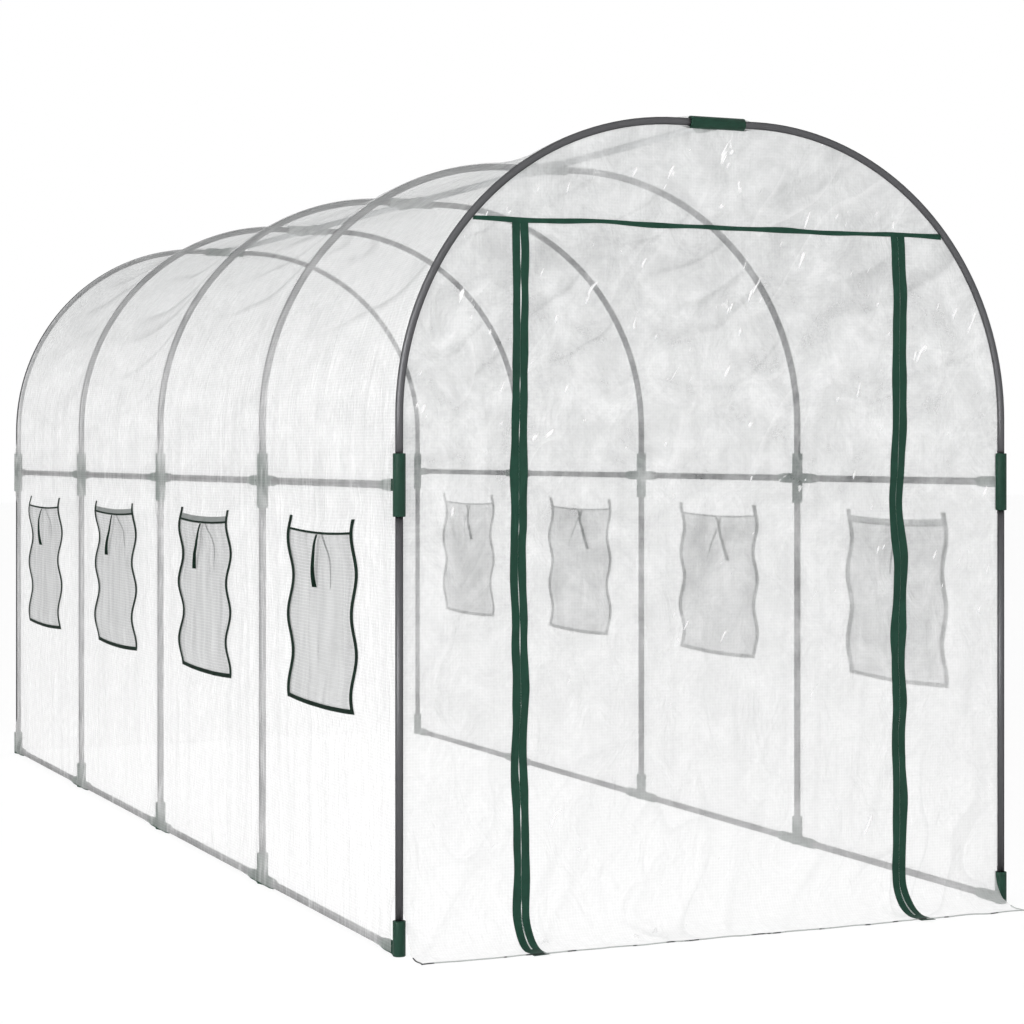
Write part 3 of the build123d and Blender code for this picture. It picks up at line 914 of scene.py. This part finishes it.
# %% [markdown]
# ## Windows
# Mesh panels, tapes and ties are sewn to the film. They could be shrink-wrapped onto it, but that
# leaves crooked edges. So they are cut flat too and wrapped by the same functions as the cover, a
# millimetre or so in front or behind, and follow every wave of the film.

# %% Flat strips wrapped like the cover
def add_flat(bm, run_span, place_span, run_steps, place_steps):
    """A flat grid over a span of runs and places."""
    middle = Vector((sum(run_span) / 2, sum(place_span) / 2, 0))
    size = (run_span[1] - run_span[0], place_span[1] - place_span[0], 1)
    bmesh.ops.create_grid(bm, x_segments=run_steps, y_segments=place_steps, size=0.5,
                          matrix=Matrix.Translation(middle) @ Matrix.Diagonal(size).to_4x4())


def wrap(bm, gap):
    """Lay flat strips over the hoops at a gap from the film, in front of it or behind."""
    keep_flat_cut(bm)
    for vert in bm.verts:
        stand_off = film_stand_off(vert.co.x, vert.co.y) + gap
        vert.co = over_hoop(sagged(vert.co.x, vert.co.y), vert.co.y, stand_off)


def window_spans(side):
    """Runs and places between the edges of each window of a wall."""
    runs = sorted((side * sill_run, side * head_run))
    return [(runs, (centre - window_half, centre + window_half)) for centre in window_places]


print("windows", round(2 * window_half, 3), "m wide,", round(window_head - window_sill, 3), "m high")

# %% Mesh panels and bindings
side_tape, sill_tape, head_tape, ear = 0.027, 0.014, 0.007, 0.040
panel_gap, binding_gap = -0.0012, 0.0025
for side_name, side in (("left", -1), ("right", 1)):
    bm = bmesh.new()
    for runs, places in window_spans(side):
        add_flat(bm, runs, places, run_steps=26, place_steps=26)
    wrap(bm, panel_gap)
    finish_piece(bm, f"{side_name}_window_panels", mesh_cloth,
                                     [f"{side_name}_window_meshes"])
    bm = bmesh.new()
    top = side * (head_run - ear)
    for runs, places in window_spans(side):
        for edge in places:
            add_flat(bm, sorted((side * (sill_run + sill_tape / 2), top)),
                     (edge - side_tape / 2, edge + side_tape / 2), run_steps=40, place_steps=3)
        for run, width in ((sill_run, sill_tape), (head_run, head_tape)):
            add_flat(bm, sorted((side * (run - width / 2), side * (run + width / 2))), places,
                     run_steps=2, place_steps=36)
    wrap(bm, binding_gap)
    finish_piece(bm, f"{side_name}_window_tapes", window_tape,
                                     [f"{side_name}_window_bindings"])

# %% Ties
tie_length = 0.172
tie_half = 0.0115
tie_gap = 0.0085
tie_swings = ((0.045, 2.0), (0.100, 1.3), (0.125, 1.4), (0.070, 2.6))  # how far aside, and the curl


def add_tie(bm, side, centre, aside, curl, gap, turn):
    """A strip that hangs from the head of a window, swings aside and turns as it falls."""
    made = bmesh.ops.create_grid(bm, x_segments=24, y_segments=2, size=0.5)["verts"]
    for vert in made:
        fall = vert.co.x + 0.5
        wide = vert.co.y * 2 * tie_half * (0.8 + 0.2 * fall)
        run = side * (head_run + 0.004 + tie_length * fall * 0.97)
        middle = centre + aside * math.sin(curl * fall)
        turned = turn * fall
        stand = gap * (1 + 0.8 * math.sin(math.pi * fall)) + wide * math.sin(turned) * math.copysign(1, gap)
        spot = over_hoop(sagged(run, middle), middle, film_stand_off(run, middle) + stand)
        vert.co = spot + Vector((0, wide * math.cos(turned), 0))


for side_name, side in (("left", -1), ("right", 1)):
    bm = bmesh.new()
    for centre, (aside, curl) in zip(window_places, tie_swings):
        add_tie(bm, side, centre, aside, curl, tie_gap, turn=0.35)
        add_tie(bm, side, centre, -0.7 * aside - 0.03, 1.2, -tie_gap, turn=0.2)
    finish_piece(bm, f"{side_name}_tie_strips", window_tape,
                                     [f"{side_name}_window_ties"])

# %% Hems that show over some windows
hemmed_windows = {"left": (1, 2), "right": (0,)}
hem_above, hem_top, hem_inset, hem_gap = 0.003, 0.020, 0.01, 0.0018
for side_name, side in (("left", -1), ("right", 1)):
    bm = bmesh.new()
    for number in hemmed_windows[side_name]:
        centre = window_places[number]
        add_flat(bm, sorted((side * (head_run - hem_top), side * (head_run - hem_above))),
                 (centre - window_half + hem_inset, centre + window_half - hem_inset),
                 run_steps=2, place_steps=30)
    wrap(bm, hem_gap)
    finish_piece(bm, f"{side_name}_window_hems", pale_tape)

# %% [markdown]
# ## End sheets
# The two ends are curtains that hang inside the end hoops and turn out on the ground as a skirt. The
# front one is four sheets: a gable, two side panels and the door between two zips. Simulated cloth
# would pull away from the hoop, so each sheet is cut flat to the hoop's inside and every point is hung
# by a function, with the crossing folds of film that was packed folded.

# %% Edges of an end sheet
skirt_radius = 0.100
toe_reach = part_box("back_sheet")[1].y - back_place
skirt_flat = toe_reach - skirt_radius
skirt_run = skirt_flat + skirt_radius * math.pi / 2
film_on_floor = 0.0012
drop_to_height = film_on_floor + skirt_radius - skirt_run
edge_gap = tube_radius + 0.0003
fitting_gap = 0.0006
sleeve_margin = 0.003


def film_edge(drop):
    """Half width of an end sheet: inside the hoop, and let in round the fittings."""
    height = drop + drop_to_height
    reach = bend_radius - edge_gap
    width = half_width - edge_gap
    if height > spring_height:
        width = crown_straight + math.sqrt(max(reach ** 2 - (height - spring_height) ** 2, 0))
    round_base = skirt_flat + 0.05 < drop and height < base_sleeve_top + 0.004
    if abs(height - side_rail_height) < side_half + sleeve_margin or round_base:
        width = min(width, half_width - sleeve_radius - fitting_gap)
    return width


print("the skirt turns out", round(1000 * toe_reach), "mm and runs", round(1000 * skirt_run), "mm")

# %% Hanging an end sheet
billow, wide_crease, narrow_crease = 0.008, 0.016, 0.009
toe_lift = 0.004
toe_share = 0.2145  # about 1 - pi / 4, so that the bend meets the flat toe


def crumples(across, drop, end):
    """Signed noise whose zero lines are the crossing folds of film that was packed folded."""
    bent = 0.30 * ripple(across * 2, drop * 2, 5.1)
    along, aside = 0.5 * across + 0.87 * drop, 0.87 * across - 0.5 * drop
    wide = ripple(along * 1.3 - bent, aside * 4.2 + bent, 2.2 * end)
    return wide, ripple(along * 3.6 + bent, aside * 9.0 + 2 * bent, 7.4 * end)


def end_crease_shading(across, drop):
    """Painted crease light and shade of an end sheet, in the same order as the cover's."""
    wide, narrow = crumples(across, drop, -1)
    strength = smooth_step(-0.1, 0.4, ripple(across * 2.3, drop * 2.0, 8.8))
    return narrow, 0.45 * strength, 0.25 * smooth_step(0.08, 0.0, abs(wide)) * (1 - strength)


def end_wave(across, drop, end):
    """Soft billows and slanting creases of a hanging sheet, held flat at the hoop."""
    from_edge = max(film_edge(drop) - abs(across), 0)
    from_crown = max(crown_height - (drop + drop_to_height) - sleeve_radius, 0)
    free = smooth_step(0.0, 0.16, min(from_edge, from_crown))
    wave = billow * ripple(across * 2.6, drop * 1.9, 4.3 * end)
    wide, narrow = crumples(across, drop, end)
    return (wave + wide_crease * (0.25 - abs(wide)) + narrow_crease * (0.25 - abs(narrow))) * free


def hang(across, drop, gap, end):
    """The point of an end sheet at a place across and a drop above its toe, measured along the film."""
    gap += end_wave(across, drop, end)
    if drop >= skirt_run:
        return Vector((across, end * (back_place + gap), drop + drop_to_height))
    if drop >= skirt_flat:
        angle = (skirt_run - drop) / skirt_radius
        reach = skirt_radius - gap * (1 - angle * 0.5)
        return Vector((across, end * (back_place + skirt_radius - reach * math.cos(angle)),
                       film_on_floor + skirt_radius - reach * math.sin(angle)))
    ruffle = toe_lift * abs(ripple(across * 7, drop * 20, 1.0)) * (1 - drop / skirt_flat)
    return Vector((across, end * (back_place + toe_reach - drop),
                   film_on_floor + abs(gap) * toe_share + ruffle))


print("toe of the front skirt at", [round(value, 3) for value in hang(0.0, 0.0, 0.0, -1)])

# %% End sheets
row_step = 0.018


def row_drops(low, high):
    """Drops of the rows of a sheet, closer together towards the crown so the arch stays round."""
    spring_drop = spring_height - drop_to_height
    rows = [low]
    while rows[-1] < high - 1e-6:
        slope = max(rows[-1] - spring_drop, 0) / (bend_radius - edge_gap)
        step = row_step * max(math.sqrt(max(1 - slope ** 2, 0)), 0.12)
        rows.append(min(rows[-1] + step, high))
    return rows


def end_sheet(name, nodes, low, high, span, columns, end):
    """A sheet between two drops, spanning from one edge function to another."""
    rows = row_drops(low, high)
    bm = bmesh.new()
    bmesh.ops.create_grid(bm, x_segments=columns, y_segments=len(rows) - 1, size=0.5)
    for vert in bm.verts:
        drop = rows[round((vert.co.y + 0.5) * (len(rows) - 1))]
        left, right = span(drop)
        across = left + (right - left) * (vert.co.x + 0.5)
        if abs(across) < crown_sleeve_half + sleeve_margin:
            drop = min(drop, crown_height - sleeve_radius - fitting_gap - drop_to_height)
        vert.co = (across, drop, 0)
    area = sum(face.calc_area() for face in bm.faces)
    keep_flat_cut(bm, end_crease_shading)
    for vert in bm.verts:
        vert.co = hang(vert.co.x, vert.co.y, 0.0, end)
    bmesh.ops.remove_doubles(bm, verts=bm.verts, dist=1e-5)
    return finish_piece(bm, name, end_film, nodes), area


header_drop = sum(corner.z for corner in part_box("header_tape")) / 2 - drop_to_height
crown_drop = crown_height - edge_gap - drop_to_height
zip_place = -sum(corner.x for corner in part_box("left_door_zip")) / 2
seam = 0.001
gable, gable_area = end_sheet("front_gable_film", ["front_gable_sheet"], header_drop + seam, crown_drop,
                              lambda drop: (-film_edge(drop), film_edge(drop)), 90, -1)
door, door_area = end_sheet("door_film", ["door_sheet"], 0, header_drop - seam,
                            lambda drop: (-zip_place + seam, zip_place - seam), 70, -1)
left_panel, panel_area = end_sheet("front_left_film", ["front_left_sheet"], 0, header_drop - seam,
                                   lambda drop: (-film_edge(drop), -zip_place - seam), 22, -1)
right_panel, panel_area = end_sheet("front_right_film", ["front_right_sheet"], 0, header_drop - seam,
                                    lambda drop: (zip_place + seam, film_edge(drop)), 22, -1)
back, back_area = end_sheet("back_film", ["back_sheet"], 0, crown_drop,
                            lambda drop: (-film_edge(drop), film_edge(drop)), 110, 1)

# %% [markdown]
# ## Zips and header tape
# The door zips are dark green tape with a white coil between the two halves. The tape is sewn to
# slack film, so its edges wander a few millimetres and the coil shows only where the halves part. A
# picture of a zip could be laid on the film, but then nothing would part. So each half is a strip hung
# by the function that hangs the film, and each tooth of the coil is a small block.

# %% Zip tapes
tape_gap = 0.0019
zip_half = 0.025
zip_wander, tape_wander = 0.012, 0.006
tape_end = 0.016
closed_end = 0.060
zip_open = {-1: 0.0026, 1: 0.0003}
least_parting = 0.0001


def zip_line(drop, which):
    """Where a zip runs across the front at a drop, wandering with the slack film."""
    return zip_place * which + zip_wander * ripple(drop * 4.1, which * 5.0, 0.5)


def zip_tape(which):
    """Two strips side by side that part a little here and there."""
    bm = bmesh.new()
    for half in (-1, 1):
        made = bmesh.ops.create_grid(bm, x_segments=4, y_segments=220, size=0.5)["verts"]
        for vert in made:
            drop = (vert.co.y + 0.5) * (header_drop + tape_end) - tape_end
            parting = least_parting + zip_open[which] * max(ripple(drop * 15, which * 3.0, 0.4), 0)
            parting *= smooth_step(closed_end, 2 * closed_end, drop)
            edge = zip_half + tape_wander * ripple(drop * 8, which * 3, half * 2.0)
            reach = parting + (edge - parting) * (vert.co.x + 0.5)
            vert.co = (zip_line(drop, which) + half * reach, drop, 0)
    bmesh.ops.recalc_face_normals(bm, faces=bm.faces)
    keep_flat_cut(bm)
    for vert in bm.verts:
        vert.co = hang(vert.co.x, vert.co.y, tape_gap, -1)
    return bm


print("zips", round(2000 * zip_half), "mm wide,", round(header_drop + tape_end, 3), "m long")

# %% Zip coils, and the finished zips
tooth_pitch = 0.004
tooth_size = (0.0042, 0.0012, 0.0026)
coil_tone_mm = 33.33


def zip_coil(which):
    """A row of small blocks between the two halves of a zip."""
    bm = bmesh.new()
    for tooth in range(int(closed_end / tooth_pitch), int(header_drop / tooth_pitch)):
        drop = (tooth + 0.5) * tooth_pitch
        centre = hang(zip_line(drop, which), drop, tape_gap * 0.5, -1)
        size = Matrix.Diagonal(tooth_size).to_4x4()
        bmesh.ops.create_cube(bm, size=1.0, matrix=Matrix.Translation(centre) @ size)
    return bm


def coil_plastic():
    """Moulded white plastic: clean, with a slight gloss, and a little greyer in places."""
    material, tree, output = new_material("moulded_white_zip_coil")
    place = add_node(tree, "ShaderNodeTexCoord").outputs["Object"]
    tone = add_node(tree, "ShaderNodeTexNoise", {"Vector": place, "Scale": 1000 / coil_tone_mm})
    colour = add_node(tree, "ShaderNodeMix", {"Factor": tone.outputs["Fac"], "A": linear("#dfe3e1"),
                                              "B": linear("#f7f9f8")}, data_type="RGBA")
    skin = add_node(tree, "ShaderNodeBsdfPrincipled", {"Base Color": colour.outputs["Result"],
                                                       "Roughness": 0.4})
    tree.links.new(skin.outputs[0], output.inputs["Surface"])
    return material


white_coil = coil_plastic()
for side_name, which in (("left", -1), ("right", 1)):
    finish_piece(zip_tape(which), f"{side_name}_zip_tape", green_tape,
                             [f"{side_name}_door_zip"])
    finish_piece(zip_coil(which), f"{side_name}_zip_coil", white_coil,
                             smooth=False)

# %% Header tape
header_width, header_wander, header_sway = 0.014, 0.006, 0.007
header_gap = tape_gap + 0.0006
bm = bmesh.new()
header_half = film_edge(header_drop)
bmesh.ops.create_grid(bm, x_segments=120, y_segments=2, size=0.5)
for vert in bm.verts:
    across = vert.co.x * 2 * header_half
    drop = header_drop + vert.co.y * (header_width + header_wander * ripple(across * 7, 8.0, 2.0))
    drop += header_sway * ripple(across * 4, 3.0, 1.0)
    vert.co = (across, drop, 0)
keep_flat_cut(bm)
for vert in bm.verts:
    vert.co = hang(vert.co.x, vert.co.y, header_gap, -1)
header = finish_piece(bm, "header_binding", green_tape, ["header_tape"])

# %% [markdown]
# ## Toe hem
# The toe of the front skirt is turned over, which shows as a thin grey line on the ground with dark
# dashes of painted shade, where the edge of the film shadows the floor. A curve with a bevel would do,
# but the hem has to lie on the waves of the skirt, so a strip is rolled up along it by the function
# that hangs the film.

# %% Rolled hem along the toe
edge_shade_run = 0.055


def hem_cord():
    """Film rolled at the toe: a grey roll with dark dashes of painted shade where its edge shadows the floor.
    """
    material, tree, output = new_material("rolled_hem_with_painted_shade")
    place = add_node(tree, "ShaderNodeTexCoord").outputs["Object"]
    along = add_node(tree, "ShaderNodeMapping", {"Vector": place, "Scale": (edge_shade_run, 1.0, 1.0)},
                     vector_type="TEXTURE")
    # painted shade: dark dashes along the roll, where the edge of the film shadows the floor
    painted_edge_shade = add_node(tree, "ShaderNodeTexNoise", {"Vector": along.outputs["Vector"], "Scale": 1.0,
                                                     "Detail": 2.0})
    dark = add_node(tree, "ShaderNodeMapRange", {"Value": painted_edge_shade.outputs["Fac"], "From Min": 0.58,
                                                 "From Max": 0.62})
    colour = add_node(tree, "ShaderNodeMix", {"Factor": dark.outputs["Result"], "A": linear("#a9adab"),
                                              "B": linear("#1d2120")}, data_type="RGBA")
    skin = add_node(tree, "ShaderNodeBsdfPrincipled", {"Base Color": colour.outputs["Result"],
                                                       "Roughness": 0.6})
    tree.links.new(skin.outputs[0], output.inputs["Surface"])
    return material


hem_radius = 0.0019
hem_stand_off, hem_raise, hem_in = 0.0022, 0.0007, 0.002
corner_hem = 0.070


def add_hem(bm, steps, path):
    """A thin roll along a path of (across, drop) points on the front skirt."""
    made = bmesh.ops.create_grid(bm, x_segments=steps, y_segments=8, size=0.5)["verts"]
    for vert in made:
        across, drop, sideways = path(vert.co.x + 0.5)
        turn = vert.co.y * 2 * math.pi
        spot = hang(across, drop, hem_stand_off, -1) + Vector((0, 0, hem_raise))
        reach = hem_radius * math.cos(turn)
        vert.co = spot + (Vector((reach, 0, 0)) if sideways else Vector((0, reach, 0)))
        vert.co.z += hem_radius * math.sin(turn)


bm = bmesh.new()
toe_half = film_edge(0.0)
add_hem(bm, 160, lambda share: (toe_half * (2 * share - 1), hem_in, False))
for side in (-1, 1):
    add_hem(bm, 12, lambda share: (side * (toe_half - hem_in), corner_hem * share, True))
bmesh.ops.remove_doubles(bm, verts=bm.verts, dist=1e-5)
bmesh.ops.recalc_face_normals(bm, faces=bm.faces)
toe_hem = finish_piece(bm, "front_toe_hem", hem_cord())

# %% [markdown]
# ## Sheet areas
# The areas of the end sheets come from the flat cuts and not from the hung sheets, whose folds would add to
# them.

# %% Flat areas of the end sheets
print("flat areas in m2:", [round(area, 3) for area in (gable_area, door_area, panel_area, back_area)])

# %% Update the scene, and the end
bpy.context.view_layer.update()
